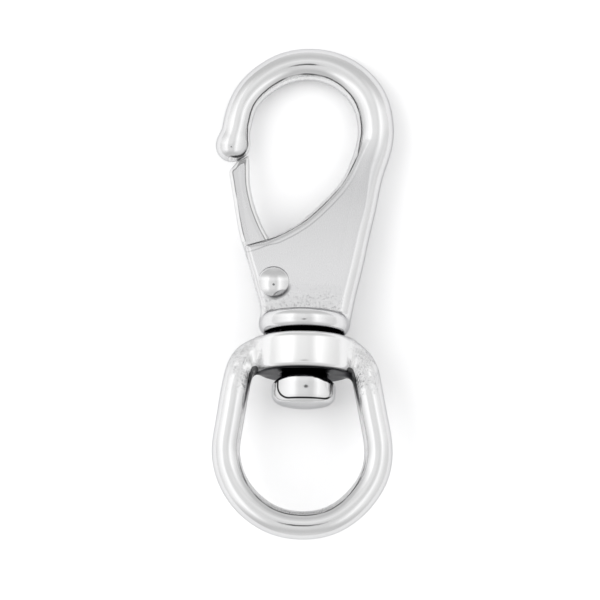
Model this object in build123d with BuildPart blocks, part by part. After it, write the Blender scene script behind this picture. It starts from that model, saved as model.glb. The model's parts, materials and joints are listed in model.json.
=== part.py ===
from build123d import *
import os

os.makedirs("parts", exist_ok=True)

# A swivel-eye spring-gate snap, cast in stainless steel.  Millimetres.
# The hook lies in the XY plane.  +Y runs from the eye to the hook along the swivel axis.
# The origin is where a line or shackle bears in the eye, on the swivel axis.

# ---- driving dimensions ----
# swivel eye
eye_seat_radius = 13.0      # inside radius of the eye's round end
bail_bar = 2.95             # radius of the eye's bar
bail_lean = 10.5            # lean of the eye's sides towards the swivel, degrees
shoulder_bend = 4.5         # centreline radius where the bar turns into the ring
shoulder_y = 29.2           # height where that bend starts
ring_y = 32.6               # middle of the swivel ring
ring_length = 7.8
ring_radius = 10.25
ring_round = 1.3
swivel_bore = 4.82

# shank and pressed button head
shank_radius = 4.75
button_top = 28.15
button_length = 6.4
button_half_x = 6.85
button_half_z = 5.75
button_round = 1.5

# collar
collar_bottom = 37.2
collar_top = 41.6
collar_radius = 9.4

# web and cheeks
web_half = 3.3              # half thickness
edge_round = 1.2            # on the free edges of the web
slot_half = 1.75            # half width of the slot for the gate

# hook bar: centreline points from the nose over the bow down to the collar,
# each with the bar's radius there
bar_stations = [
    (-15.55, 79.0, 2.98),
    (-15.10, 82.4, 2.95),
    (-12.12, 89.4, 3.10),
    (-6.28, 93.9, 3.28),
    (0.82, 95.2, 3.35),
    (7.74, 92.9, 3.58),
    (12.50, 87.6, 3.78),
    (13.93, 79.8, 3.77),
    (12.00, 72.2, 3.70),
    (10.90, 65.6, 3.58),
    (9.65, 59.0, 3.45),
    (8.45, 52.6, 3.42),
    (7.10, 46.4, 3.40),
    (5.95, 40.2, 3.40),
]
nose_x = -15.9
nose_y = 77.7
nose_radius = 3.65

# gate and its pin
pivot_x = -6.8
pivot_y = 47.8
gate_half = 1.6             # half thickness
gate_hub = 3.3              # hub radius
pin_radius = 1.3
pin_hole = 1.32             # through the cheeks
gate_bore = 1.36            # through the gate
head_radius = 3.22
head_height = 1.35
head_rim = 0.2

# torsion spring
wire = 0.25                 # wire radius
coil_radius = 1.85
coil_turns = 2.0 + 65 / 360
coil_pitch = 0.54
gate_leg = 6.4              # length of the leg up the gate
floor_leg = 4.3             # length of the leg on the slot floor
spring_gap = 0.95           # half width of the notch between the gate's two lugs


# ---- hook body: bar, nose, web with two cheeks, collar, shank and button, one casting ----
bar_points = [(x, y) for x, y, r in bar_stations]
with BuildLine() as bar_line:
    bar_curve = Spline(*bar_points, tangents=[(0.15, 1), (-0.35, -1)])

with BuildPart() as hook_body:
    # web, with its free edges rounded
    with BuildSketch(Plane.XY.offset(-web_half)):
        with BuildLine():
            left_edge = Spline((-9.5, 41.0), (-9.6, 43.4), (-10.9, 48.2), (-12.7, 54.2), (-13.1, 56.0))
            corner = Line(left_edge @ 1, (-12.1, 57.2))
            top_edge = Spline(
                corner @ 1,
                (-8.7, 58.1),
                (-3.9, 59.8),
                (1.7, 64.1),
                (4.8, 67.3),
                (7.1, 70.3),
                (9.3, 76.1),
                (10.6, 79.6),
            )
            into_bar = Line(top_edge @ 1, (13.5, 78.9))
            down_bar = Spline(
                into_bar @ 1,
                (12.00, 72.2),
                (10.90, 65.6),
                (9.65, 59.0),
                (8.45, 52.6),
                (7.10, 46.4),
                (6.00, 41.0),
            )
            Line(down_bar @ 1, left_edge @ 0)
        make_face()
    extrude(amount=2 * web_half)
    flat_faces = hook_body.faces().filter_by(Axis.Z)
    free_edges = flat_faces.edges().filter_by(lambda edge: edge.center().X < -9 or edge.center().X > 0)
    free_edges = free_edges.filter_by(lambda edge: edge.center().X < -9 or edge.center().Y > 62)
    free_edges = free_edges.filter_by(lambda edge: edge.center().X < 9.0)
    fillet(free_edges, edge_round)
    # tapering bar
    for x, y, r in bar_stations:
        along = bar_curve.param_at_point((x, y))
        with BuildSketch(Plane(origin=(x, y, 0), x_dir=(0, 0, 1), z_dir=bar_curve % along)):
            Circle(r)
    loft()
    # ball nose
    with Locations((nose_x, nose_y, 0)):
        Sphere(nose_radius)
    # collar and shank
    with BuildSketch(Plane.XY):
        with BuildLine():
            Polyline(
                (0, button_top - 1.0),
                (shank_radius, button_top - 1.0),
                (shank_radius, collar_bottom),
                (collar_radius - 1.0, collar_bottom),
            )
            collar_side = Spline(
                (collar_radius - 1.0, collar_bottom),
                (collar_radius - 0.15, collar_bottom + 0.85),
                (collar_radius, (collar_bottom + collar_top) / 2),
                (collar_radius - 0.3, collar_top - 0.9),
                (collar_radius - 1.2, collar_top),
            )
            Polyline((collar_radius - 1.2, collar_top), (0, collar_top), (0, button_top - 1.0))
        make_face()
    revolve(axis=Axis.Y)
    # slot between the cheeks for the gate
    with BuildSketch(Plane.XY.offset(-slot_half)):
        with BuildLine():
            Polyline(
                (-16.0, 43.5),
                (-3.0, 43.5),
                (-2.5, 47.8),
                (-1.3, 56.5),
                (-0.5, 66.0),
                (-20.0, 66.0),
                (-16.0, 43.5),
            )
        make_face()
    extrude(amount=2 * slot_half, mode=Mode.SUBTRACT)
    # pin holes through both cheeks
    with BuildSketch(Plane.XY.offset(-web_half - 1)):
        with Locations((pivot_x, pivot_y)):
            Circle(pin_hole)
    extrude(amount=2 * web_half + 2, mode=Mode.SUBTRACT)

with BuildPart() as button:
    # head squeezed on the end of the shank
    with BuildSketch(Plane.XZ.offset(-button_top)):
        Ellipse(button_half_x, button_half_z)
    extrude(amount=button_length)
    fillet(button.faces().sort_by(Axis.Y)[0].edges(), button_round + 0.7)
    fillet(button.faces().sort_by(Axis.Y)[-1].edges(), button_round - 0.5)

with BuildPart() as hook_body_whole:
    add(hook_body.part)
    add(button.part)
hook_body_whole.part.label = "hook_body"
export_step(hook_body_whole.part, "parts/hook_body.step")


# ---- gate: lever with a slanted tip, and two lugs round its pin ----
with BuildPart() as gate:
    with BuildSketch(Plane.XY.offset(-gate_half)):
        with BuildLine():
            outer = Polyline(
                (-10.05, 48.4),
                (-13.35, 56.0),
                (-16.55, 71.3),
                (-14.85, 73.95),
            )
            tip = ThreePointArc(outer @ 1, (-13.55, 74.55), (-12.75, 75.2))
            inner = Polyline(
                tip @ 1,
                (-12.45, 73.8),
                (-12.25, 69.4),
                (-11.15, 64.8),
                (-9.1, 59.4),
                (-8.1, 57.4),
                (-4.7, 50.0),
                (-10.05, 48.4),
            )
        make_face()
        with Locations((pivot_x, pivot_y)):
            Circle(gate_hub)
    extrude(amount=2 * gate_half)
    long_edges = gate.edges().filter_by(lambda edge: abs(abs(edge.center().Z) - gate_half) < 0.01)
    long_edges = long_edges.filter_by(lambda edge: edge.center().Y > 60)
    fillet(long_edges, 0.55)
    # notch that makes the two lugs and holds the spring
    with BuildSketch(Plane.XY.offset(-spring_gap)):
        with Locations((pivot_x, 46.0)):
            Rectangle(9.0, 9.2)
        with Locations((pivot_x - coil_radius + 0.05, 52.5)):
            Rectangle(0.75, 5.0)
    extrude(amount=2 * spring_gap, mode=Mode.SUBTRACT)
    with BuildSketch(Plane.XY.offset(-gate_half - 1)):
        with Locations((pivot_x, pivot_y)):
            Circle(gate_bore)
    extrude(amount=2 * gate_half + 2, mode=Mode.SUBTRACT)
gate.part.label = "gate"
export_step(gate.part, "parts/gate.step")


# ---- gate pin: a rivet with a low domed head on each side ----
cap_radius = (head_radius**2 + head_height**2) / (2 * head_height)
with BuildPart() as gate_pin:
    with BuildSketch(Plane.XZ.offset(-pivot_y)):
        with BuildLine():
            Polyline(
                (pivot_x, 0),
                (pivot_x + pin_radius, 0),
                (pivot_x + pin_radius, web_half),
                (pivot_x + head_radius, web_half),
                (pivot_x + head_radius, web_half + head_rim),
            )
            RadiusArc(
                (pivot_x + head_radius, web_half + head_rim),
                (pivot_x, web_half + head_rim + head_height),
                -cap_radius,
            )
            Line((pivot_x, web_half + head_rim + head_height), (pivot_x, 0))
        make_face()
    revolve(axis=Axis((pivot_x, pivot_y, 0), (0, 0, 1)))
    mirror(about=Plane.XY)
gate_pin.part.label = "gate_pin"
export_step(gate_pin.part, "parts/gate_pin.step")


# ---- gate spring: torsion coil round the pin, one leg up the gate, one on the slot floor ----
coil_height = coil_pitch * coil_turns
half_turn = Rotation(0, 0, 180)
coil_place = Location((pivot_x, pivot_y, -coil_height / 2)) * half_turn
coil_curve = coil_place * Helix(pitch=coil_pitch, height=coil_height, radius=coil_radius)
coil_start = coil_curve @ 0
coil_end = coil_curve @ 1
end_slope = coil_curve % 1
with BuildPart() as gate_spring:
    with BuildSketch(Plane(origin=coil_start, z_dir=coil_curve % 0)):
        Circle(wire)
    sweep(path=coil_curve, is_frenet=True)
    with BuildSketch(Plane(origin=coil_start - (0, wire, 0), z_dir=(0, 1, 0))):
        Circle(wire)
    extrude(amount=gate_leg)
    with Locations(coil_start, coil_end):
        Sphere(wire)
    with BuildSketch(Plane(origin=coil_end, z_dir=(end_slope.X, end_slope.Y, 0))):
        Circle(wire)
    extrude(amount=floor_leg)
gate_spring.part.label = "gate_spring"
export_step(gate_spring.part, "parts/gate_spring.step")


# ---- swivel eye: ring boss and round bar bail, one casting ----
with BuildLine() as bail_half:
    round_end = CenterArc((0, eye_seat_radius), eye_seat_radius + bail_bar, -90, 90 + bail_lean)
    lean_x = (shoulder_y - (round_end @ 1).Y) * (round_end % 1).X / (round_end % 1).Y
    side = Line(round_end @ 1, ((round_end @ 1).X + lean_x, shoulder_y))
    shoulder = JernArc(side @ 1, side % 1, shoulder_bend, 64)
    Line(shoulder @ 1, (shoulder @ 1) + (shoulder % 1) * 2.0)

with BuildPart() as swivel_eye:
    # ring boss with rounded rims
    with BuildSketch(Plane.XY):
        with Locations((ring_radius / 2, ring_y)):
            boss_section = Rectangle(ring_radius, ring_length)
        fillet(boss_section.vertices().group_by(Axis.X)[-1], ring_round)
    revolve(axis=Axis.Y)
    # bail
    with BuildSketch(Plane(origin=(0, -bail_bar, 0), z_dir=(1, 0, 0))):
        Circle(bail_bar)
    half_bail = sweep(path=bail_half.line)
    mirror(half_bail, about=Plane.YZ)
    # bore for the shank
    with BuildSketch(Plane.XZ.offset(-(ring_y + ring_length / 2 + 2))):
        Circle(swivel_bore)
    extrude(amount=ring_length + 4, mode=Mode.SUBTRACT)
swivel_eye.part.label = "swivel_eye"
export_step(swivel_eye.part, "parts/swivel_eye.step")
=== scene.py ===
"""A cast stainless swivel-eye snap hook lying on a pale table under soft studio light.

Lengths are worked out in millimetres and put into the meshes in metres.
The hook lies in the XY plane, +Y runs along the swivel axis from the eye to the hook.
"""

import json
import math

import bpy
import numpy as np
from mathutils import Matrix, Vector

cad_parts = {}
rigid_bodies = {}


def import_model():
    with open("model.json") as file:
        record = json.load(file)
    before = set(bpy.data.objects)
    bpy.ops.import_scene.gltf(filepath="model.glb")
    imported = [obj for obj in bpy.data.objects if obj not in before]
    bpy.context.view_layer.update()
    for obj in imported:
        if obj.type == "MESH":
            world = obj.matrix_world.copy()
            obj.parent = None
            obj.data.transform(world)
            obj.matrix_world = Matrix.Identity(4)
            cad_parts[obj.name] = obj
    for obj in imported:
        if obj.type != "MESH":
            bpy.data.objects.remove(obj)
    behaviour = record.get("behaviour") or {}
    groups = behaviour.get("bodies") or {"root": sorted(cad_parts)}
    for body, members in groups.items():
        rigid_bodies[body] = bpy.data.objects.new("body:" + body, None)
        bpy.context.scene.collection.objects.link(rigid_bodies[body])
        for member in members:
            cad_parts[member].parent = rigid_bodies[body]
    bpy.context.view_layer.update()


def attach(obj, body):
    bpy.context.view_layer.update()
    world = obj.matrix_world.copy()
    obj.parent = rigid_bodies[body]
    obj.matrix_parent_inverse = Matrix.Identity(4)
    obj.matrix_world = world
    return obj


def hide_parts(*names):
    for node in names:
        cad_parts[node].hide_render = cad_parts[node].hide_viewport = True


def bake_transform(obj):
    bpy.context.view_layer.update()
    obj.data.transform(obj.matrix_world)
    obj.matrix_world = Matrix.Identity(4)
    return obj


for left_over in list(bpy.data.objects):
    bpy.data.objects.remove(left_over)

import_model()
MM = 0.001

# ---------------------------------------------------------------- dimensions, mm

# swivel ring and collar, round about the swivel axis
SHANK_RADIUS = 4.75
BORE_RADIUS = 4.82
RING_RADIUS = 10.25
RING_MIDDLE = 32.6
RING_HALF = 3.9
RING_LOW = RING_MIDDLE - RING_HALF
RING_TOP = RING_MIDDLE + RING_HALF
COLLAR_RADIUS = 9.4
COLLAR_MIDDLE = 39.4
COLLAR_HALF = 2.2
COLLAR_LOW = COLLAR_MIDDLE - COLLAR_HALF
COLLAR_TOP = COLLAR_MIDDLE + COLLAR_HALF
COLLAR_OFFSET = -0.3

# the shank's squeezed end, and the pressed faces on its front and back
BUTTON_TOP = 28.4
BUTTON_LOW = 21.75
BUTTON_HALF_X = 6.65
BUTTON_HALF_Z = 6.5
FACET_X, FACET_Y, FACET_Z = 0.4, 26.0, 5.75
FACET_ROLL = 9.0

# web, gate slot and gate pin
PIVOT = (-6.8, 47.8)
PIN_RADIUS = 1.3
PIN_HOLE = 1.34
WEB_HALF = 3.3
WEB_RISE = 0.52
SLOT_HALF = 1.75
HEAD_RADIUS = 3.22
HEAD_RISE = 1.35
HEAD_RIM = 0.22

# ball on the bar's free end: middle and radius in the hook's plane, and how much flatter it is across
BALL_X, BALL_Y, BALL_RADIUS = -15.86, 77.66, 3.54
BALL_FLATNESS = 1.35
# centreline of the hook bar from the ball to the collar: x, y, bar radius
BAR_LINE = [
    (-16.36, 77.1, 3.0),
    (-15.92, 78.75, 2.98),
    (-15.46, 80.5, 2.97),
    (-15.10, 82.4, 3.00),
    (-14.10, 86.16, 2.97),
    (-12.12, 89.43, 3.10),
    (-9.39, 91.98, 3.20),
    (-6.28, 93.9, 3.28),
    (-2.82, 95.0, 3.31),
    (0.82, 95.2, 3.35),
    (4.41, 94.52, 3.45),
    (7.74, 92.9, 3.58),
    (10.58, 90.45, 3.70),
    (12.60, 87.4, 3.78),
    (13.70, 83.64, 3.78),
    (13.93, 79.83, 3.77),
    (13.20, 76.11, 3.75),
    (12.05, 72.2, 3.70),
    (10.90, 65.6, 3.58),
    (9.65, 59.0, 3.45),
    (8.45, 52.6, 3.42),
    (7.10, 46.4, 3.40),
    (5.95, 40.2, 3.40),
]
# upper edge of the web, from the cheeks' free corner to the bar
WEB_TOP = [
    (-12.2, 55.9),
    (-10.3, 56.6),
    (-8.7, 57.3),
    (-6.6, 58.3),
    (-3.9, 59.75),
    (-1.5, 61.3),
    (1.7, 64.1),
    (4.8, 67.35),
    (7.1, 70.4),
    (8.7, 73.6),
    (10.1, 76.4),
    (11.8, 79.0),
]
# the cheeks' edge on the gate's side, from the collar up, and the corner it turns round
WEB_LEFT = [
    (-9.4, 40.5),
    (-9.5, 43.0),
    (-10.2, 45.6),
    (-11.0, 48.4),
    (-12.0, 51.6),
    (-12.7, 54.0),
    (-12.95, 54.9),
]
CHEEK_CORNER = (-13.1, 55.75)
# the slot between the cheeks, open at the gate's side and towards the hook opening
SLOT_OUTLINE = [(-20, 66), (-20, 43.5), (-3.0, 43.5), (-2.5, 47.8), (-1.3, 56.5), (-0.5, 66)]

# gate: outer edge upwards, slanted tip, inner edge downwards
GATE_HALF = 1.6
GATE_HUB = 3.3
GATE_BORE = 1.36
GATE_OUTER = [(-10.1, 48.3), (-11.4, 51.4), (-13.4, 56.0), (-15.2, 63.6), (-16.62, 71.4)]
GATE_TIP = [(-16.35, 72.15), (-14.9, 74.0), (-13.95, 74.35), (-13.1, 74.95), (-12.75, 75.25)]
GATE_INNER = [
    (-12.45, 74.3),
    (-12.35, 71.8),
    (-12.2, 69.2),
    (-11.7, 66.5),
    (-10.9, 63.7),
    (-10.0, 61.4),
    (-9.1, 59.5),
    (-8.05, 57.6),
    (-6.3, 53.6),
    (-4.6, 50.0),
]
# the hollow for the spring: half width along the pin, top of the coil's notch, and the leg's groove
NOTCH_HALF = 0.95
NOTCH_TOP = 50.6
GROOVE_HALF = 0.375
GROOVE_TOP = 55.0

# torsion spring
WIRE_RADIUS = 0.25
COIL_RADIUS = 1.85
COIL_PITCH = 0.54
COIL_TURNS = 2.0 + 65.0 / 360.0
LEG_UP = 6.2
LEG_OUT = 4.1

# centreline of the eye's bar, from the ring's left shoulder round to its right one
BAIL_RADIUS = 2.95
BAIL_LINE = [
    (-8.6, 33.2),
    (-10.6, 32.95),
    (-12.2, 31.8),
    (-13.35, 29.7),
    (-14.0, 27.1),
    (-14.58, 23.7),
    (-15.1, 20.0),
    (-15.6, 16.6),
    (-15.97, 13.0),
    (-15.3, 8.4),
    (-13.1, 3.9),
    (-9.6, 0.25),
    (-5.2, -2.15),
    (0.0, -2.945),
    (5.2, -2.12),
    (9.5, 0.35),
    (12.9, 4.0),
    (15.1, 8.3),
    (15.7, 12.9),
    (15.3, 16.4),
    (14.55, 20.0),
    (13.8, 23.7),
    (13.1, 27.1),
    (12.5, 29.6),
    (11.5, 31.4),
    (10.1, 32.7),
    (8.4, 33.2),
]

# ---------------------------------------------------------------- curves and flat distance maps


def curve_through(points, count):
    """A natural cubic spline through the points, its parameter the chord length.

    Second derivatives m solve the usual three-term rows of the spline, then each span is the
    cubic that its end values and end second derivatives fix.  Returns count points.
    """
    pts = np.asarray(points, float)
    gap = np.linalg.norm(np.diff(pts[:, :2], axis=0), axis=1)
    knots = np.concatenate([[0.0], np.cumsum(gap)])
    n = len(pts)
    rows = np.zeros((n, n))
    right = np.zeros((n, pts.shape[1]))
    rows[0, 0] = rows[-1, -1] = 1.0
    inner = np.arange(1, n - 1)
    rows[inner, inner - 1] = gap[:-1]
    rows[inner, inner] = 2.0 * (gap[:-1] + gap[1:])
    rows[inner, inner + 1] = gap[1:]
    slope = np.diff(pts, axis=0) / gap[:, None]
    right[1:-1] = 6.0 * np.diff(slope, axis=0)
    m = np.linalg.solve(rows, right)
    t = np.linspace(0.0, knots[-1], count)
    span = np.clip(np.searchsorted(knots, t, side="right") - 1, 0, n - 2)
    h = gap[span][:, None]
    a = (knots[span + 1] - t)[:, None] / h
    b = 1.0 - a
    bend = ((a**3 - a) * m[span] + (b**3 - b) * m[span + 1]) * h * h / 6.0
    return a * pts[span] + b * pts[span + 1] + bend


def nearest_on_path(x, y, path):
    """Distance from each flat point to a polyline, and the path's third column there.

    For every segment the foot of the perpendicular is clamped to the segment; the nearest wins.
    """
    shape = np.broadcast(x, y).shape
    px = np.broadcast_to(x, shape).ravel()
    py = np.broadcast_to(y, shape).ravel()
    best = np.full(px.shape, 1e9)
    extra = np.zeros(px.shape)
    start, step = path[:-1], np.diff(path, axis=0)
    size = np.maximum(step[:, 0] ** 2 + step[:, 1] ** 2, 1e-12)
    for s, d, q in zip(start, step, size):
        t = np.clip(((px - s[0]) * d[0] + (py - s[1]) * d[1]) / q, 0.0, 1.0)
        gap = (px - s[0] - t * d[0]) ** 2 + (py - s[1] - t * d[1]) ** 2
        closer = gap < best
        best[closer] = gap[closer]
        extra[closer] = s[2] + t[closer] * d[2]
    return np.sqrt(best).reshape(shape), extra.reshape(shape)


def outline_distance(x, y, outline):
    """Distance to a closed outline, below nought inside it (odd number of crossings to the right)."""
    ring = np.column_stack([outline, np.zeros(len(outline))])
    ring = np.vstack([ring, ring[:1]])
    gap, _ = nearest_on_path(x, y, ring)
    inside = np.zeros(gap.shape, bool)
    for (x0, y0, _), (x1, y1, _) in zip(ring[:-1], ring[1:]):
        if y0 != y1:
            spans = (y0 > y) != (y1 > y)
            inside ^= spans & (x < (x1 - x0) * (y - y0) / (y1 - y0) + x0)
    return np.where(inside, -gap, gap)


class FlatMap:
    """Values sampled on a fine flat grid and read back between its points by straight-line weights."""

    def __init__(self, low, high, values_of, step=0.12):
        self.low = np.asarray(low, float)
        self.step = step
        counts = np.ceil((np.asarray(high, float) - self.low) / step).astype(int) + 2
        gx = self.low[0] + step * np.arange(counts[0])
        gy = self.low[1] + step * np.arange(counts[1])
        self.layers = [np.ascontiguousarray(v) for v in values_of(gx[:, None], gy[None, :])]

    def __call__(self, x, y):
        x, y = np.broadcast_arrays(x, y)
        nx, ny = self.layers[0].shape
        u = np.clip((x - self.low[0]) / self.step, 0, nx - 1.001)
        v = np.clip((y - self.low[1]) / self.step, 0, ny - 1.001)
        i, j = u.astype(int), v.astype(int)
        fu, fv = u - i, v - j
        out = []
        for layer in self.layers:
            a = layer[i, j] * (1 - fu) + layer[i + 1, j] * fu
            b = layer[i, j + 1] * (1 - fu) + layer[i + 1, j + 1] * fu
            out.append(a * (1 - fv) + b * fv)
        return out


# ---------------------------------------------------------------- blended solids


def joined(a, b, k):
    """Union with a fillet about k wide: the lesser of two distances, less a parabola where they meet."""
    h = np.maximum(k - np.abs(a - b), 0.0) / k
    return np.minimum(a, b) - h * h * k / 4.0


def cut(a, b, k):
    """Solid a with solid b taken away, the edge eased over about k."""
    return -joined(-a, b, k)


def eased_box(across, along, ease):
    """Distance to the corner region where both measures are below nought, its corner rounded by ease."""
    p, q = across + ease, along + ease
    return np.hypot(np.maximum(p, 0.0), np.maximum(q, 0.0)) + np.minimum(np.maximum(p, q), 0.0) - ease


def smoothstep(low, high, value):
    """0 below low, 1 above high, a cubic between."""
    t = np.clip((value - low) / (high - low), 0.0, 1.0)
    return t * t * (3.0 - 2.0 * t)


def dual_skin(solid, low, high, step):
    """The zero level of a solid's distance function as a closed quad mesh.

    The function is sampled on a box grid.  Each cell the level passes through gets one point, the
    mean of the crossings on its edges, and each crossed grid edge gets one quad between the four
    cells round it.  The points are then moved along the gradient onto the level itself.
    """
    low = np.asarray(low, float)
    counts = np.ceil((np.asarray(high, float) - low) / step).astype(int) + 1
    axes = [low[a] + step * np.arange(counts[a]) for a in range(3)]
    field = solid(axes[0][:, None, None], axes[1][None, :, None], axes[2][None, None, :])
    field = np.ascontiguousarray(np.broadcast_to(field, tuple(counts)))
    solid_inside = field < 0.0
    cells = tuple(counts - 1)
    total = np.zeros(cells + (3,), np.float32)
    hits = np.zeros(cells, np.float32)
    for axis in range(3):
        others = [a for a in range(3) if a != axis]
        near = [slice(None)] * 3
        far = [slice(None)] * 3
        near[axis] = slice(0, -1)
        far[axis] = slice(1, None)
        a, b = field[tuple(near)], field[tuple(far)]
        crossed = solid_inside[tuple(near)] != solid_inside[tuple(far)]
        t = np.where(crossed, a / np.where(crossed, a - b, 1.0), 0.0).astype(np.float32)
        for du in (0, 1):
            for dv in (0, 1):
                part = [slice(None)] * 3
                part[others[0]] = slice(du, cells[others[0]] + du)
                part[others[1]] = slice(dv, cells[others[1]] + dv)
                c = crossed[tuple(part)]
                hits += c
                total[..., axis] += np.where(c, t[tuple(part)], 0.0)
                total[..., others[0]] += np.where(c, du, 0.0)
                total[..., others[1]] += np.where(c, dv, 0.0)
    used = hits > 0
    index = np.full(cells, -1)
    index[used] = np.arange(used.sum())
    where = np.argwhere(used)
    points = low + step * (where + total[used] / hits[used][:, None])
    quads = []
    for axis in range(3):
        u, v = (axis + 1) % 3, (axis + 2) % 3
        near = [slice(None)] * 3
        far = [slice(None)] * 3
        near[axis] = slice(0, -1)
        far[axis] = slice(1, None)
        crossed = solid_inside[tuple(near)] != solid_inside[tuple(far)]
        spots = np.argwhere(crossed)
        spots = spots[(spots[:, u] > 0) & (spots[:, v] > 0)]
        leaving = solid_inside[tuple(spots.T)]
        ring = []
        for du, dv in ((-1, -1), (0, -1), (0, 0), (-1, 0)):
            corner = spots.copy()
            corner[:, u] += du
            corner[:, v] += dv
            ring.append(index[tuple(corner.T)])
        ring = np.column_stack(ring)
        quads.append(np.where(leaving[:, None], ring, ring[:, ::-1]))
    quads = np.vstack(quads)
    small = step * 0.04
    for _ in range(4):
        x, y, z = points.T
        value = solid(x, y, z)
        slope = np.column_stack(
            [
                solid(x + small, y, z) - solid(x - small, y, z),
                solid(x, y + small, z) - solid(x, y - small, z),
                solid(x, y, z + small) - solid(x, y, z - small),
            ]
        ) / (2 * small)
        size = np.maximum((slope**2).sum(axis=1), 0.2)
        move = slope * (value / size)[:, None]
        reach = np.linalg.norm(move, axis=1)
        points = points - move * np.minimum(1.0, 0.5 * step / np.maximum(reach, 1e-9))[:, None]
    return points, quads


def make_piece(name, points, faces, finish, body, replaced=None, inset=None):
    """A mesh object from points in millimetres and faces of one size, smooth shaded, riding on a body.

    inset, one value per point, is kept as the piece's own attribute of that name.
    """
    mesh = bpy.data.meshes.new(name)
    points = np.asarray(points, float) * MM
    faces = np.asarray(faces)
    corners = faces.shape[1]
    mesh.vertices.add(len(points))
    mesh.vertices.foreach_set("co", points.astype(np.float32).ravel())
    mesh.loops.add(faces.size)
    mesh.loops.foreach_set("vertex_index", faces.astype(np.int32).ravel())
    mesh.polygons.add(len(faces))
    mesh.polygons.foreach_set("loop_start", np.arange(0, faces.size, corners, dtype=np.int32))
    mesh.polygons.foreach_set("use_smooth", np.ones(len(faces), bool))
    mesh.update(calc_edges=True)
    mesh.validate()
    if inset is not None:
        layer = mesh.attributes.new("inset", "FLOAT", "POINT")
        layer.data.foreach_set("value", np.asarray(inset, np.float32))
    mesh.materials.append(finish)
    piece = bpy.data.objects.new(name, mesh)
    bpy.context.scene.collection.objects.link(piece)
    if body:
        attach(piece, body)
    if replaced:
        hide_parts(replaced)
    return piece


# ---------------------------------------------------------------- finishes


class Wire:
    """A node socket that adds, multiplies and mixes like a number."""

    def __init__(self, tree, socket):
        self.tree = tree
        self.socket = socket

    def math(self, operation, *values, clamp=False):
        node = self.tree.nodes.new("ShaderNodeMath")
        node.operation = operation
        node.use_clamp = clamp
        for port, value in zip(node.inputs, values):
            plug(self.tree, port, value)
        return Wire(self.tree, node.outputs[0])

    def __add__(self, other):
        return self.math("ADD", self, other)

    __radd__ = __add__

    def __sub__(self, other):
        return self.math("SUBTRACT", self, other)

    def __rsub__(self, other):
        return self.math("SUBTRACT", other, self)

    def __mul__(self, other):
        return self.math("MULTIPLY", self, other)

    __rmul__ = __mul__

    def __truediv__(self, other):
        return self.math("DIVIDE", self, other)

    def __pow__(self, other):
        return self.math("POWER", self, other)

    def step(self, low, high):
        """0 below low, 1 above high, straight between."""
        return self.math("MULTIPLY", self - low, 1.0 / (high - low), clamp=True)

    def fall(self, low, high):
        """1 below low, 0 above high, straight between."""
        return 1.0 - self.step(low, high)

    def between(self, low, low_full, high_full, high):
        """1 from low_full to high_full, 0 below low and above high, straight between."""
        return self.step(low, low_full) * self.fall(high_full, high)

    def least(self, other):
        return self.math("MINIMUM", self, other)

    def most(self, other):
        return self.math("MAXIMUM", self, other)

    def size(self):
        return self.math("ABSOLUTE", self)


def plug(tree, port, value):
    """Link a wire to a socket, or set the socket to a value."""
    if isinstance(value, Wire):
        tree.links.new(value.socket, port)
    else:
        port.default_value = value


class Graph:
    """A node tree under construction: one call adds any node and wires its inputs."""

    def __init__(self, tree):
        self.tree = tree
        self.tree.nodes.clear()

    def add(self, kind, out=0, settings=None, **inputs):
        """Add a node; an input is named, with _ for a space, or given by number as i0, i1."""
        node = self.tree.nodes.new("ShaderNode" + kind)
        for key, value in (settings or {}).items():
            setattr(node, key, value)
        for key, value in inputs.items():
            port = int(key[1:]) if key[1:].isdigit() else key.replace("_", " ")
            plug(self.tree, node.inputs[port], value)
        return Wire(self.tree, node.outputs[out])

    def along(self, vector, direction):
        """How far a vector reaches along a fixed direction."""
        dot = {"operation": "DOT_PRODUCT"}
        return self.add("VectorMath", out="Value", settings=dot, i0=vector, i1=tuple(direction))

    def mix(self, factor, a, b):
        """Colour a turning into colour b as the factor goes from 0 to 1."""
        return self.add("Mix", out=2, settings={"data_type": "RGBA"}, i0=factor, i6=a, i7=b)


def grey(level, blue=0.0):
    """A neutral colour with a little more blue."""
    return (level, level, level + blue, 1.0)


class Finish(Graph):
    """A material's graph, with the piece's own coordinates, in millimetres, split ready for masks."""

    def __init__(self, name):
        self.material = bpy.data.materials.new(name)
        self.material.use_nodes = True
        super().__init__(self.material.node_tree)
        self.place = self.add("TexCoord", out="Object")
        split = self.tree.nodes.new("ShaderNodeSeparateXYZ")
        self.tree.links.new(self.place.socket, split.inputs[0])
        self.x, self.y, self.z = [Wire(self.tree, socket) * (1.0 / MM) for socket in split.outputs]

    def noise(self, scale, detail=2.0, rough=0.5, stretch=(1, 1, 1), turn=0.0, shift=(0, 0, 0)):
        """Noise on the piece's own coordinates, scale in cycles per metre, stretched and turned."""
        place = self.add("Mapping", Vector=self.place, Scale=stretch, Rotation=(0, 0, turn), Location=shift)
        return self.add("TexNoise", out="Fac", Vector=place, Scale=scale, Detail=detail, Roughness=rough)

    def close(self, color, roughness, height, metallic=1.0):
        """Join colour, roughness and a height in millimetres to the shader, and give the material."""
        bump = self.add("Bump", Height=height * MM, Strength=1.0, Distance=1.0)
        shader = self.tree.nodes.new("ShaderNodeBsdfPrincipled")
        plug(self.tree, shader.inputs["Metallic"], metallic)
        if metallic:
            plug(self.tree, shader.inputs["Specular Tint"], grey(0.62, 0.01))
        for port, value in (("Base Color", color), ("Roughness", roughness), ("Normal", bump)):
            plug(self.tree, shader.inputs[port], value)
        ending = self.tree.nodes.new("ShaderNodeOutputMaterial")
        self.tree.links.new(shader.outputs[0], ending.inputs[0])
        return self.material


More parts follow.
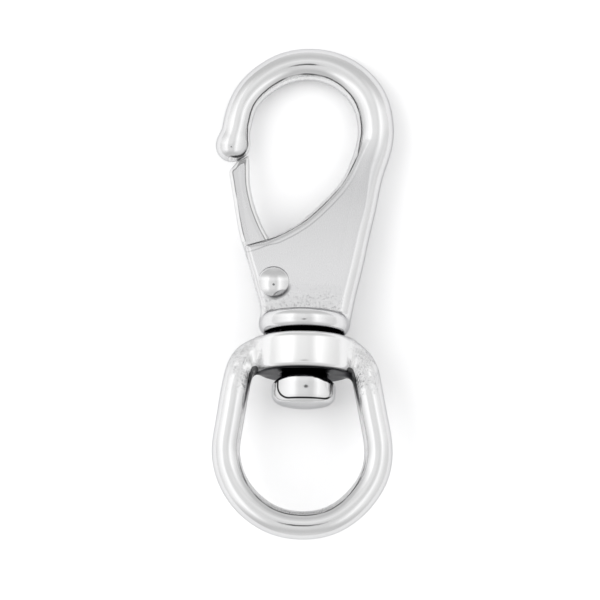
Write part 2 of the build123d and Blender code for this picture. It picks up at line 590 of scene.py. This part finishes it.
class Steel(Finish):
    """Polished stainless steel: a base tone, broad waves, fine grain and two lays of scratches."""

    def __init__(self, name, tone, polish, waves):
        super().__init__(name)
        self.tone = tone
        broad = self.noise(160.0, 2.0)
        fine = self.noise(2600.0, 3.0, 0.6)
        scratch_a = self.noise(900.0, 3.0, 0.6, stretch=(9.0, 0.7, 1.0), turn=0.35)
        scratch_b = self.noise(1100.0, 3.0, 0.6, stretch=(0.8, 8.0, 1.0), turn=-0.5, shift=(0.3, 0.1, 0.0))
        self.rough = polish + broad.step(0.35, 0.7) * 0.04 + scratch_a.step(0.52, 0.75) * 0.06
        self.height = (broad - 0.5) * 0.06 * waves + (fine - 0.5) * 0.0008
        self.height = self.height + (scratch_a + scratch_b) * 0.0009
        dull, clear = grey(tone * 0.97, tone * 0.005), grey(tone, tone * 0.005)
        self.color = self.mix(broad.step(0.3, 0.7), dull, clear)

    def paint(self, mask, level, blue=0.0):
        """Turn the colour to a grey where the mask is 1."""
        self.color = self.mix(mask, self.color, grey(level, blue))

    def grind(self, mask, top):
        """A belt-ground flat: satin with the belt's lay, its tone painted darker towards the bow by the factor
        top, painted shade standing for the dimmer surroundings it reflects.
        """
        lay = self.noise(1500.0, 2.0, 0.6, stretch=(0.5, 6.0, 1.0), turn=1.2)
        towards_bow = self.y.step(51.0, 68.0)
        self.rough = self.rough + mask * 0.12
        self.height = self.height + mask * (lay - 0.5) * 0.0022
        self.paint(mask * (1.0 - towards_bow), self.tone * 0.99, self.tone * 0.01)
        # painted shade: the flat darker towards the bow
        self.paint(mask * towards_bow, self.tone * top, self.tone * 0.01)

    def leave_cast(self, mask):
        """Cast skin left unpolished: lumps and fine dark pits."""
        skin = self.noise(1150.0, 4.0, 0.65)
        pits = self.noise(1900.0, 2.0, 0.5, shift=(0.2, 0.5, 0.1)).step(0.56, 0.68)
        self.rough = self.rough + mask * 0.12
        self.height = self.height + mask * ((skin - 0.5) * 0.30 - pits * 0.06)
        self.paint(mask * pits * 0.3, self.tone * 0.4, self.tone * 0.01)

    def brush(self, mask):
        """A brushed surface, a little paler and less sharp."""
        self.rough = self.rough + mask * 0.08
        self.paint(mask, self.tone * 1.10)

    def paint_edge_shade(self, strength, spread, faint=None, crease_shade_strength=None):
        """Painted shade and reflection along the inner contour, by the piece's own inset values, mm.

        At an inset of nought lies a fine dark edge, painted shade standing for the dark gap and contact
        shade reflected near the bar, spread wider by spread and faded where faint is 1.  Beyond it the
        inner surface is rougher satin, painted paler as a reflection of the white table, and before it
        a band is painted slightly darker.  The last argument is the strength of a painted shade line in
        the crease where the rounding meets a ground face.
        """
        inset = self.add("Attribute", out="Fac", settings={"attribute_name": "inset"})
        off = inset + (self.noise(700.0, 2.0) - 0.5) * 0.10
        beyond = off.fall(-0.04, 0.04)
        edge = ((off + spread * 0.3).size() - spread).fall(0.05, 0.16)
        if faint is not None:
            edge = edge * (1.0 - faint)
        broken = self.noise(240.0, 1.0, shift=(0.7, 0.2, 0.0)).step(0.25, 0.5)
        edge = edge * (broken + spread * 4.0).least(1.0)
        self.rough = self.rough + beyond * 0.14
        # painted reflection: the surface beyond the edge painted paler
        self.paint(beyond, self.tone * 1.16)
        # painted shade: a band before the edge a little darker
        self.paint(off.between(0.02, 0.10, 0.75, 0.95) * 0.10, 0.3, 0.005)
        if crease_shade_strength is not None:
            # painted shade in the crease where the rounding meets a ground face
            crease = (off - 1.40).size().fall(0.06, 0.22)
            self.paint(crease * crease_shade_strength, 0.16, 0.005)
        # the fine dark edge, painted shade
        self.paint(edge * strength, 0.03, 0.002)

    def paint_shade(self, mask):
        """Painted shade, nearly black, in gaps, crevices and creases."""
        self.paint(mask, 0.006, 0.001)

    def done(self):
        return self.close(self.color, self.rough, self.height)


def radius_about_axis(f):
    """Distance from the swivel axis."""
    return (f.x * f.x + f.z * f.z) ** 0.5


def distance_to(f, x, y):
    """Distance from a line square to the hook's plane."""
    return ((f.x - x) ** 2.0 + (f.y - y) ** 2.0) ** 0.5


def away_from_light(f, from_pin):
    """1 straight down and to the right of the rivet's middle, -1 on the opposite side."""
    return ((f.x - PIVOT[0]) * 0.5 - (f.y - PIVOT[1]) * 0.87) / from_pin


def web_corner(f):
    """Cast skin on the web between the collar and the rivet."""
    low = f.y.between(COLLAR_TOP - 0.4, COLLAR_TOP + 0.2, COLLAR_TOP + 3.0, PIVOT[1])
    inner = (f.x + 0.8).size().fall(7.6, 8.8)
    return low * inner * f.noise(350.0, 2.0).step(0.1, 0.45)


def web_flat(f):
    """The web's ground faces."""
    return f.z.size().step(WEB_HALF - 0.25, WEB_HALF - 0.05) * f.y.between(42.0, 46.0, 74.0, 80.0)


def button_crease_shade(f):
    """Where painted shade lies in a fine crease round the button's pressed faces, half a circle at either end
    and straight between.
    """
    across = ((f.x - 0.5).size() - 3.5).most(0.0)
    along = ((f.y - 25.9).size() - 0.3).most(0.0)
    off_rim = (across * across + along * along) ** 0.5 - 2.5
    return off_rim.size().fall(0.10, 0.24) * f.z.size().step(3.0, 3.4) * f.y.fall(28.3, 28.5)


def hook_crevice_shade(f):
    """Painted shade in the swivel's gaps, along the button's crease, under the rivet and at the collar's foot.
    """
    around = radius_about_axis(f)
    under_collar = around.fall(8.6, 9.0) * f.y.between(28.4, 28.6, COLLAR_LOW + 0.2, COLLAR_LOW + 0.5)
    shank = around.fall(4.9, 5.6) * f.y.between(27.8, 28.1, COLLAR_LOW + 0.4, COLLAR_LOW + 0.8)
    from_pin = distance_to(f, *PIVOT)
    rivet = away_from_light(f, from_pin).step(0.55, 0.9) * from_pin.fall(3.45, 4.0)
    rivet = rivet * f.z.size().step(3.0, 3.2)
    rim = f.y.between(COLLAR_TOP - 0.35, COLLAR_TOP - 0.20, COLLAR_TOP - 0.04, COLLAR_TOP - 0.005)
    rim = rim * around.step(6.8, 7.2) * f.x.size().fall(6.6, 7.8)
    return under_collar.most(shank).most(button_crease_shade(f)).most(rivet * 0.75).most(rim * 0.6)


def at_ball(f):
    """Spreads the painted shade edge where the ball meets the gate's tip."""
    return distance_to(f, -14.7, 74.9).fall(0.6, 2.0) * 0.09


def under_ball(f):
    """Fades the painted shade edge on the ball's far side."""
    return f.x.fall(-17.1, -16.0) * f.y.fall(75.5, 76.5)


def web_crease_shade(f):
    """How strong the painted shade line is in the crease along the web's upper edge."""
    return f.y.between(53.5, 54.5, 65.0, 73.5) * 0.36


def shoulders(f):
    """Cast skin where the eye's bar runs into the ring."""
    side = f.x.size().between(8.5, 10.0, 15.0, 16.5)
    return side * f.y.between(23.5, 27.0, RING_TOP, 38.5) * f.noise(420.0, 2.0).step(0.34, 0.56)


def ring_crevice_shade(f):
    """The ring's bore and end faces, painted black as shade."""
    around = radius_about_axis(f)
    top = around.fall(8.6, 9.1) * f.y.step(RING_TOP - 0.4, RING_TOP - 0.1)
    low = around.fall(10.0, 10.4) * f.y.between(24.0, 24.5, RING_LOW + 0.2, RING_LOW + 0.5)
    bore = around.fall(5.0, 5.3) * f.y.step(27.0, 27.5)
    return top.most(low).most(bore)


def ring_face(f):
    """The ring's outside, brushed round."""
    around = radius_about_axis(f).fall(10.4, 11.0)
    return around * f.y.between(RING_LOW - 0.3, RING_LOW + 0.5, RING_TOP - 0.7, RING_TOP + 0.1)


def at_corners(f):
    """Spreads the painted shade edge up the inner corners of the eye."""
    return f.y.step(21.5, 28.5) * 0.26


def along_sides(f):
    """Fades the painted shade edge along the eye's straight sides."""
    return f.y.between(8.5, 11.5, 19.5, 23.0) * 0.8


def gate_flat(f):
    """The gate's two ground faces."""
    return f.z.size().step(GATE_HALF - 0.25, GATE_HALF - 0.05)


def at_tip(f):
    """Spreads the painted shade edge at the gate's tip."""
    return distance_to(f, -14.4, 74.6).fall(0.6, 2.2) * 0.30


def rivet_shade(f):
    """The rivet head's rim on the side away from the light, and its dimmer upper part."""
    from_pin = distance_to(f, *PIVOT)
    rim = away_from_light(f, from_pin).step(0.70, 0.95) * from_pin.step(2.9, 3.2) * 0.6
    return rim.most((f.y - PIVOT[1]).step(0.6, 2.4) * 0.14)


def hook_finish():
    """Polished casting with ground web faces."""
    f = Steel("cast_steel", tone=0.685, polish=0.12, waves=1.0)
    f.grind(web_flat(f), top=0.85)
    f.leave_cast(web_corner(f))
    # painted shade edge and paler painted reflection round the hook opening, painted shade in the web's crease
    f.paint_edge_shade(0.92, at_ball(f), faint=under_ball(f), crease_shade_strength=web_crease_shade(f))
    # painted shade, nearly black, in the hook's gaps and creases
    f.paint_shade(hook_crevice_shade(f))
    return f.done()


def eye_finish():
    """Polished casting with rough shoulders and a brushed ring."""
    f = Steel("eye_steel", tone=0.685, polish=0.12, waves=1.0)
    f.leave_cast(shoulders(f))
    f.brush(ring_face(f))
    # painted shade edge and paler painted reflection round the eye's opening
    f.paint_edge_shade(0.85, at_corners(f), faint=along_sides(f))
    # painted shade, black, in the ring's bore and on its end faces
    f.paint_shade(ring_crevice_shade(f))
    return f.done()


def gate_finish():
    """Ground faces with polished edges."""
    f = Steel("gate_steel", tone=0.67, polish=0.14, waves=0.6)
    f.grind(gate_flat(f), top=0.96)
    # painted shade edge and paler painted reflection along the gate's inner side
    f.paint_edge_shade(0.6, at_tip(f))
    return f.done()


def rivet_finish():
    """Bright heads, shaded on one side."""
    f = Steel("pin_steel", tone=0.70, polish=0.10, waves=0.5)
    f.paint_shade(rivet_shade(f))
    return f.done()


def wire_finish():
    """Drawn spring wire."""
    return Steel("wire_steel", tone=0.55, polish=0.18, waves=0.2).done()


# ---------------------------------------------------------------- hook body

BAR_CURVE = curve_through(BAR_LINE, 260)
WEB_TOP_CURVE = curve_through(WEB_TOP, 90)
WEB_END = 79.2


def web_outline():
    """The web's closed outline: gate side, cheek's corner, upper edge, and back down inside the bar.

    The corner is a parabola pulled towards its tip: the two ends and the tip weighted by (1-t)^2,
    t^2 and 2t(1-t).
    """
    left = curve_through(WEB_LEFT, 40)
    t = np.linspace(0.0, 1.0, 9)[1:-1, None]
    corner = (1 - t) ** 2 * left[-1] + 2 * t * (1 - t) * np.array(CHEEK_CORNER) + t**2 * WEB_TOP_CURVE[0]
    inside_bar = BAR_CURVE[(BAR_CURVE[:, 1] < WEB_END) & (BAR_CURVE[:, 0] > 0)][:, :2]
    return np.vstack([left, corner, WEB_TOP_CURVE, inside_bar])


WEB_OUTLINE = web_outline()


def hook_layers(x, y):
    """Squared distance to the bar's centreline, the bar's radius there, and distances to web and slot."""
    gap, radius = nearest_on_path(x, y, BAR_CURVE)
    slot = outline_distance(x, y, np.array(SLOT_OUTLINE, float))
    return gap**2, radius, outline_distance(x, y, WEB_OUTLINE), slot


hook_map = FlatMap((-21.5, 19.5), (20.0, 100.5), hook_layers)


def side_line(curve, side):
    """A curve moved sideways by its third column, to its left for side 1 and to its right for side -1."""
    heading = np.gradient(curve[:, :2], axis=0)
    heading /= np.linalg.norm(heading, axis=1)[:, None]
    return curve[:, :2] + side * curve[:, 2:3] * np.column_stack([-heading[:, 1], heading[:, 0]])


def opening_line():
    """The hook opening's contour over ball, bow and web: x, y, and how deep inside it the painted shade edge
    lies.
    """
    turn = np.linspace(-1.75, 0.25, 24)[:, None]
    ball_middle, ball_radius = np.array([-15.75, 77.7]), 3.6
    ball = ball_middle + ball_radius * np.hstack([np.cos(turn), np.sin(turn)])
    ball_depth = 0.52 + 0.20 * smoothstep(-1.0, 0.2, turn[:, 0])
    bow = side_line(BAR_CURVE, -1)
    bow = bow[(BAR_CURVE[:, 1] > 77.0) & ((bow[:, 0] > -9.0) | (bow[:, 1] > 81.0))]
    bow_depth = 0.72 + 0.06 * np.exp(-(((bow[:, 0] + 3.0) / 8.0) ** 2)) * (bow[:, 1] > 85)
    web = WEB_TOP_CURVE[WEB_TOP_CURVE[:, 1] < 75.5][::-1, :2]
    web_depth = 0.40 + 0.50 * smoothstep(-9.5, -6.5, web[:, 0]) - 0.15 * smoothstep(60.0, 72.0, web[:, 1])
    stretches = ((ball, ball_depth), (bow, bow_depth), (web, web_depth))
    return np.vstack([np.column_stack(stretch) for stretch in stretches])


def inset_from(points, line):
    """How far each point lies inside a line's depth, mm, below nought beyond it, kept within 2 mm."""
    gap, depth = nearest_on_path(points[:, 0], points[:, 1], line)
    return np.clip(gap - depth, -2.0, 2.0)


def button_solid(x, y, z):
    """The shank's squeezed end: an oval puck with rounded rims, its front and back pressed to a wide curve.

    The puck's low end is a shallow dome, its upper rim rounder than its lower one.  Each pressed
    face is a cylinder of the facet's roll, tilted a little and curved along y by a parabola.
    """
    oval = (np.sqrt(((x + 0.1) / BUTTON_HALF_X) ** 2 + (z / BUTTON_HALF_Z) ** 2) - 1.0) * 6.2
    top = y - BUTTON_TOP + 0.012 * x * x
    low = BUTTON_LOW + 0.028 * (x * x + z * z) - y
    puck = eased_box(oval, np.maximum(top, low), 1.5 + 0.8 * smoothstep(25.8, 27.2, y))
    up = y - FACET_Y
    roll = FACET_ROLL - np.sqrt(np.maximum(FACET_ROLL**2 - (x - FACET_X) ** 2, 1.0))
    facet = FACET_Z - roll + 0.10 * up - up**2 / 13.0
    return np.maximum(puck, (np.abs(z) - facet) * 0.85)


def web_solid(x, y, z, web_gap, height):
    """The web, its edges quarter ellipses: wide towards the hook opening, narrower on the gate's side."""
    wide = smoothstep(-11.5, -8.0, x) * smoothstep(49.0, 55.0, y)
    cheek = smoothstep(57.5, 53.0, y) * smoothstep(-4.0, -8.0, x)
    edge_across = 1.75 + 0.35 * cheek + (1.0 - 0.5 * smoothstep(63.0, 74.0, y)) * wide
    edge_down = 1.8 + 1.1 * wide
    p = web_gap / edge_across + 1.0
    q = (np.abs(z) - np.minimum(height, WEB_HALF + 0.05) - 0.25) / edge_down + 1.0
    corner = np.hypot(np.maximum(p, 0.0), np.maximum(q, 0.0)) + np.minimum(np.maximum(p, q), 0.0)
    return (corner - 1.0) * 1.6


def hook_solid(x, y, z):
    """Bar and ball, web, collar, shank and button joined with fillets, less the gate's slot and pin hole.

    The belt that ground the web's faces also took the bar's crest down to the same height, which
    rises until it clears the bar where the bow begins.
    """
    gap2, radius, web_gap, slot_gap = hook_map(x, y)
    bar = np.sqrt(gap2 + z * z) - radius
    ball = np.sqrt((x - BALL_X) ** 2 + (y - BALL_Y) ** 2 + (BALL_FLATNESS * z) ** 2) - BALL_RADIUS
    bar = joined(bar, ball, 0.8)
    height = WEB_HALF + WEB_RISE * smoothstep(63.0, 77.5, y)
    body = joined(bar, web_solid(x, y, z, web_gap, height), 0.5)
    body = cut(body, height - np.abs(z), 0.12)
    body = cut(body, np.maximum(slot_gap, np.abs(z) - SLOT_HALF), 0.45)
    about_collar = np.sqrt((x - COLLAR_OFFSET) ** 2 + z * z)
    bead = eased_box(about_collar - COLLAR_RADIUS, np.abs(y - COLLAR_MIDDLE) - COLLAR_HALF, 1.95)
    body = joined(body, bead, 0.5)
    shank = np.maximum(np.sqrt(x * x + z * z) - SHANK_RADIUS, np.abs(y - 32.0) - 6.5)
    body = joined(body, shank, 0.6)
    body = joined(body, button_solid(x, y, z), 0.3)
    hole = np.sqrt((x - PIVOT[0]) ** 2 + (y - PIVOT[1]) ** 2) - PIN_HOLE
    return cut(body, hole, 0.1)


hook_step = 0.27
points, quads = dual_skin(hook_solid, (-20.4, 21.0, -10.3), (18.8, 99.6, 10.3), hook_step)
inset = inset_from(points, opening_line())
make_piece(
    "hook_casting", points, quads, hook_finish(), "hook", "hook_body", inset
)


# ---------------------------------------------------------------- gate

GATE_OUTLINE = np.vstack(
    [
        curve_through(GATE_OUTER, 40),
        np.array(GATE_TIP, float),
        curve_through(GATE_INNER, 50),
    ]
)


def gate_layers(x, y):
    """Distance to the gate's outline."""
    return (outline_distance(x, y, GATE_OUTLINE),)


gate_map = FlatMap((-18.5, 42.0), (-1.5, 77.0), gate_layers, step=0.08)


def gate_solid(x, y, z):
    """The lever with eased edges and its hub, less the spring's notch, the leg's groove and the bore."""
    (gap,) = gate_map(x, y)
    hub_gap = np.sqrt((x - PIVOT[0]) ** 2 + (y - PIVOT[1]) ** 2)
    flat_gap = joined(gap, hub_gap - GATE_HUB, 1.0)
    ease = 0.35 + 0.95 * smoothstep(54.0, 57.0, y)
    lever = eased_box(flat_gap, np.abs(z) - GATE_HALF - 0.22 * ease, ease)
    lever = cut(lever, GATE_HALF - np.abs(z), 0.1)
    inside = np.abs(z) - NOTCH_HALF
    notch = np.maximum(inside, y - NOTCH_TOP)
    leg = np.abs(x - (PIVOT[0] - COIL_RADIUS + 0.05)) - GROOVE_HALF
    groove = np.maximum(np.maximum(inside, leg), y - GROOVE_TOP)
    lever = cut(lever, np.minimum(notch, groove), 0.15)
    return cut(lever, hub_gap - GATE_BORE, 0.1)


def gate_inset(points):
    """How far each point lies inside the gate's painted shade edge, mm; the edge ends between the cheeks."""
    x, y = points[:, 0], points[:, 1]
    (gap,) = gate_map(x, y)
    depth = 0.90 - 0.20 * smoothstep(-13.6, -14.4, x + (y - 64.0) * 0.2)
    return np.clip(-gap - depth + 9.0 * smoothstep(56.6, 55.8, y), -2.0, 2.0)


gate_step = 0.17
points, quads = dual_skin(gate_solid, (-17.6, 43.6, -2.2), (-2.6, 76.2, 2.2), gate_step)
make_piece(
    "gate_lever", points, quads, gate_finish(), "gate", "gate", gate_inset(points)
)


# ---------------------------------------------------------------- gate pin


def skin_faces(rows, sides):
    """Triangles over rows of sides points, closed round, with a fan to one more point at either end."""
    i, j = np.meshgrid(np.arange(rows - 1), np.arange(sides), indexing="ij")
    a = i * sides + j
    b = i * sides + (j + 1) % sides
    around = [np.stack([a, b, b + sides], -1), np.stack([a, b + sides, a + sides], -1)]
    k = np.arange(sides)
    following = (k + 1) % sides
    last_row = (rows - 1) * sides
    first = np.column_stack([np.full(sides, rows * sides), following, k])
    last = np.column_stack([np.full(sides, rows * sides + 1), last_row + k, last_row + following])
    return np.vstack([tris.reshape(-1, 3) for tris in around] + [first, last])


def lathe(profile, turns, centre):
    """A profile (radius, z) with both ends on the axis, carried round a vertical axis through centre."""
    profile = np.asarray(profile, float)
    angle = np.linspace(0.0, 2 * np.pi, turns, endpoint=False)
    ring = profile[1:-1]
    x = centre[0] + ring[:, 0][:, None] * np.cos(angle)
    y = centre[1] + ring[:, 0][:, None] * np.sin(angle)
    z = np.repeat(ring[:, 1][:, None], turns, axis=1)
    body = np.column_stack([x.ravel(), y.ravel(), z.ravel()])
    ends = np.array([[centre[0], centre[1], profile[0, 1]], [centre[0], centre[1], profile[-1, 1]]])
    return np.vstack([body, ends]), skin_faces(len(ring), turns)


def rivet_profile():
    """Dome, rim and shaft of the rivet from its lowest point to its highest, mirrored about the middle.

    The dome is a cap of the sphere whose radius is (base^2 + rise^2) / (2 rise).
    """
    lip = 0.10
    sphere = (HEAD_RADIUS**2 + HEAD_RISE**2) / (2 * HEAD_RISE)
    slope = np.linspace(0.0, math.asin(HEAD_RADIUS / sphere), 26)
    crown = WEB_HALF + HEAD_RIM + HEAD_RISE
    dome = np.column_stack([sphere * np.sin(slope), crown - sphere * (1 - np.cos(slope))])
    turn = np.linspace(0.0, np.pi / 2, 6)[1:]
    edge = np.column_stack([HEAD_RADIUS - lip + lip * np.cos(turn), WEB_HALF + lip - lip * np.sin(turn)])
    under = [(2.4, WEB_HALF), (1.4, WEB_HALF)]
    shaft = [(PIN_RADIUS, WEB_HALF - lip), (PIN_RADIUS, GATE_HALF), (PIN_RADIUS, 0.0)]
    upper = np.vstack([dome, edge, under, shaft])
    lower = upper[:-1] * (1, -1)
    return np.vstack([lower, upper[::-1]])


points, tris = lathe(rivet_profile(), 96, PIVOT)
make_piece("gate_rivet", points, tris, rivet_finish(), "hook", "gate_pin")


# ---------------------------------------------------------------- gate spring


def tube(path, radius, sides):
    """A round section carried along a path, its frame turned as little as possible, its ends closed."""
    path = np.asarray(path, float)
    along = np.gradient(path, axis=0)
    along /= np.linalg.norm(along, axis=1)[:, None]
    across = np.cross(along, (0.0, 0.0, 1.0))
    across /= np.linalg.norm(across, axis=1)[:, None]
    up = np.cross(across, along)
    angle = np.linspace(0.0, 2 * np.pi, sides, endpoint=False)[None, :, None]
    ring = across[:, None, :] * np.cos(angle) + up[:, None, :] * np.sin(angle)
    body = (path[:, None, :] + radius * ring).reshape(-1, 3)
    ends = np.array([path[0] - along[0] * radius * 0.5, path[-1] + along[-1] * radius * 0.5])
    return np.vstack([body, ends]), skin_faces(len(path), sides)


def spring_path():
    """Down the gate's leg, round the pin in a helix, and out along the leg on the slot's floor."""
    length = COIL_PITCH * COIL_TURNS
    sweep = COIL_TURNS * 2 * math.pi
    angle = np.linspace(math.pi, math.pi + sweep, 120)
    x = PIVOT[0] + COIL_RADIUS * np.cos(angle)
    y = PIVOT[1] + COIL_RADIUS * np.sin(angle)
    helix = np.column_stack([x, y, length * ((angle - math.pi) / sweep - 0.5)])
    rings = 14
    run = np.linspace(1.0, 0.0, rings, endpoint=False)[:, None]
    leg_up = helix[0] + run * np.array([0.0, LEG_UP, 0.0])
    heading = np.array([-math.sin(angle[-1]), math.cos(angle[-1]), 0.0])
    leg_out = helix[-1] + (1.0 - run + 1.0 / rings) * heading * LEG_OUT
    return np.vstack([leg_up, helix, leg_out])


points, tris = tube(spring_path(), WIRE_RADIUS, 18)
spring_piece = make_piece(
    "gate_torsion_spring", points, tris, wire_finish(), None, "gate_spring"
)
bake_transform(spring_piece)


# ---------------------------------------------------------------- swivel eye

BAIL_CURVE = curve_through([(x, y, BAIL_RADIUS) for x, y in BAIL_LINE], 260)


def eye_layers(x, y):
    """Squared distance to the centreline of the eye's bar."""
    gap, _ = nearest_on_path(x, y, BAIL_CURVE)
    return (gap**2,)


eye_map = FlatMap((-21.0, -8.0), (21.0, 40.0), eye_layers)


def eye_solid(x, y, z):
    """Ring and bar joined with a wide fillet, less the bore for the shank.

    The ring's side swells by a parabola along its length, and its bore flares at either end.
    """
    (gap2,) = eye_map(x, y)
    bar = np.sqrt(gap2 + z * z) - BAIL_RADIUS
    around = np.sqrt(x * x + z * z)
    swell = 0.12 * (1.0 - ((y - RING_MIDDLE) / RING_HALF) ** 2)
    side = around - (RING_RADIUS - 0.127) - swell
    ring = eased_box(side, np.abs(y - RING_MIDDLE) - RING_HALF, 1.45)
    body = joined(ring, bar, 2.3)
    flare = 0.35 * smoothstep(3.3, 3.95, np.abs(y - RING_MIDDLE))
    bore = np.maximum(around - BORE_RADIUS - flare, np.abs(y - RING_MIDDLE) - 6.0)
    return cut(body, bore, 0.2)


def eye_line():
    """The eye's inner contour below the ring: x, y, and how deep inside it the painted shade edge lies."""
    inner = side_line(BAIL_CURVE, 1)[BAIL_CURVE[:, 1] < 30.5]
    return np.column_stack([inner, 0.48 + 0.77 * smoothstep(10.0, 0.0, inner[:, 1])])


eye_step = 0.25
points, quads = dual_skin(eye_solid, (-19.6, -6.6, -10.9), (19.6, 38.2, 10.9), eye_step)
inset = inset_from(points, eye_line())
make_piece(
    "swivel_eye_casting", points, quads, eye_finish(), "eye", "swivel_eye", inset
)


# ---------------------------------------------------------------- table, light and camera

# the snap lies on the ring's rim and the hook's far end, so the table leans under it
REST_RING = (36.0, -10.25)
REST_HOOK = (94.8, -3.36)
table_lean = math.atan2(REST_HOOK[1] - REST_RING[1], REST_HOOK[0] - REST_RING[0])
table_turn = Matrix.Rotation(table_lean, 4, "X")
table_spot = Vector((0.0, REST_RING[0] * MM, REST_RING[1] * MM - 0.0001))


def table_mesh():
    """A flat square of cloth-white board three metres across."""
    mesh = bpy.data.meshes.new("table")
    half = 1.5
    flat = [Vector((sx * half, sy * half, 0.0)) for sx, sy in ((-1, -1), (1, -1), (1, 1), (-1, 1))]
    mesh.from_pydata([table_turn @ v + table_spot for v in flat], [], [(0, 1, 2, 3)])
    return mesh


table_finish = Finish("table_white")
table_grain = table_finish.noise(900.0, 2.0)
table_rough = table_grain.step(0.3, 0.7) * 0.06 + 0.3
table_material = table_finish.close(grey(0.93, 0.003), table_rough, table_grain * 0.001, metallic=0.0)
table = bpy.data.objects.new("table", table_mesh())
table.data.materials.append(table_material)
bpy.context.scene.collection.objects.link(table)


def soft_box(name, place, aim, width, height, strength):
    """A rectangular lamp at place, facing aim, in metres in the table's own frame."""
    lamp = bpy.data.lights.new(name, "AREA")
    lamp.shape = "RECTANGLE"
    lamp.size = width
    lamp.size_y = height
    lamp.energy = strength * width * height * math.pi
    holder = bpy.data.objects.new(name, lamp)
    position = table_turn @ Vector(place) + table_spot
    target = table_turn @ Vector(aim) + table_spot
    facing = (target - position).to_track_quat("-Z", "Y").to_matrix().to_4x4()
    holder.matrix_world = Matrix.Translation(position) @ facing
    holder.visible_glossy = False
    bpy.context.scene.collection.objects.link(holder)


soft_box("left_box", (-0.62, 0.05, 0.55), (0, 0.045, 0), 0.70, 0.9, 1.6)
soft_box("right_box", (0.60, 0.05, 0.60), (0, 0.045, 0), 0.40, 0.8, 1.0)

TILT = math.radians(11.58)
ROLL = math.radians(1.2)
DISTANCE = 1.20
FRAME_WIDTH = 0.12519
AIM = Vector((-0.00124, 0.04466, 0.0))
camera_turn = Matrix.Rotation(TILT, 4, "X") @ Matrix.Rotation(ROLL, 4, "Z")

# brightness of the white tent round the table, by the angle from overhead to the right, degrees
TENT_END = 110.0
TENT_BRIGHTEST = 1.6
TENT = [
    (-110, 1.01),
    (-90, 1.05),
    (-76, 1.11),
    (-66, 1.23),
    (-55, 1.33),
    (-47, 1.40),
    (-38, 1.52),
    (-31, 1.45),
    (-24, 1.15),
    (-17, 1.03),
    (0, 1.02),
    (10, 0.94),
    (17, 0.96),
    (24, 1.19),
    (33, 1.45),
    (42, 1.29),
    (52, 1.16),
    (63, 1.05),
    (84, 0.99),
    (110, 0.98),
]


def room_light():
    """A white tent lit from both sides, dimmer ahead and behind, with the round front of a lens above."""
    world = bpy.data.worlds.new("white_tent")
    bpy.context.scene.world = world
    world.use_nodes = True
    g = Graph(world.node_tree)
    heading = g.add("TexCoord", out="Generated")
    up = g.along(heading, table_turn @ Vector((0, 0, 1)))
    side = g.along(heading, (1, 0, 0))
    fore = g.along(heading, table_turn @ Vector((0, 1, 0)))
    lens = g.along(heading, camera_turn @ Vector((0, 0, 1)))
    angle = side.math("ARCTAN2", side, up) * (180.0 / math.pi)
    ramp = g.tree.nodes.new("ShaderNodeValToRGB")
    g.tree.links.new(((angle + TENT_END) / (2 * TENT_END)).socket, ramp.inputs[0])
    ramp.color_ramp.interpolation = "EASE"
    elements = ramp.color_ramp.elements
    while len(elements) > 1:
        elements.remove(elements[-1])
    for number, (degrees, value) in enumerate(TENT):
        spot = (degrees + TENT_END) / (2 * TENT_END)
        element = elements[0] if number == 0 else elements.new(spot)
        element.position = spot
        element.color = grey(value / TENT_BRIGHTEST)
    glow = Wire(g.tree, ramp.outputs[0]) * TENT_BRIGHTEST
    ends = fore.size()
    # a paler strip ahead, the dim ends, their brighter middles, and the dark lens
    glow = glow + 0.12 * fore.between(0.20, 0.34, 0.48, 0.62)
    glow = glow + (0.80 - glow) * ends.step(0.42, 0.74)
    glow = glow + 0.14 * ends.step(0.90, 0.99)
    glow = glow * (1.0 - 0.97 * lens.step(0.9938, 0.9962))
    backdrop = g.tree.nodes.new("ShaderNodeBackground")
    g.tree.links.new(glow.socket, backdrop.inputs[0])
    ending = g.tree.nodes.new("ShaderNodeOutputWorld")
    g.tree.links.new(backdrop.outputs[0], ending.inputs[0])


room_light()

camera_data = bpy.data.cameras.new("camera")
camera = bpy.data.objects.new("camera", camera_data)
bpy.context.scene.collection.objects.link(camera)
camera_data.angle = 2 * math.atan(FRAME_WIDTH / 2 / DISTANCE)
camera_data.clip_start = 0.02
camera.matrix_world = Matrix.Translation(AIM) @ camera_turn @ Matrix.Translation((0, 0, DISTANCE))
bpy.context.scene.camera = camera

view = bpy.context.scene.view_settings
view.view_transform = "Standard"
view.look = "None"
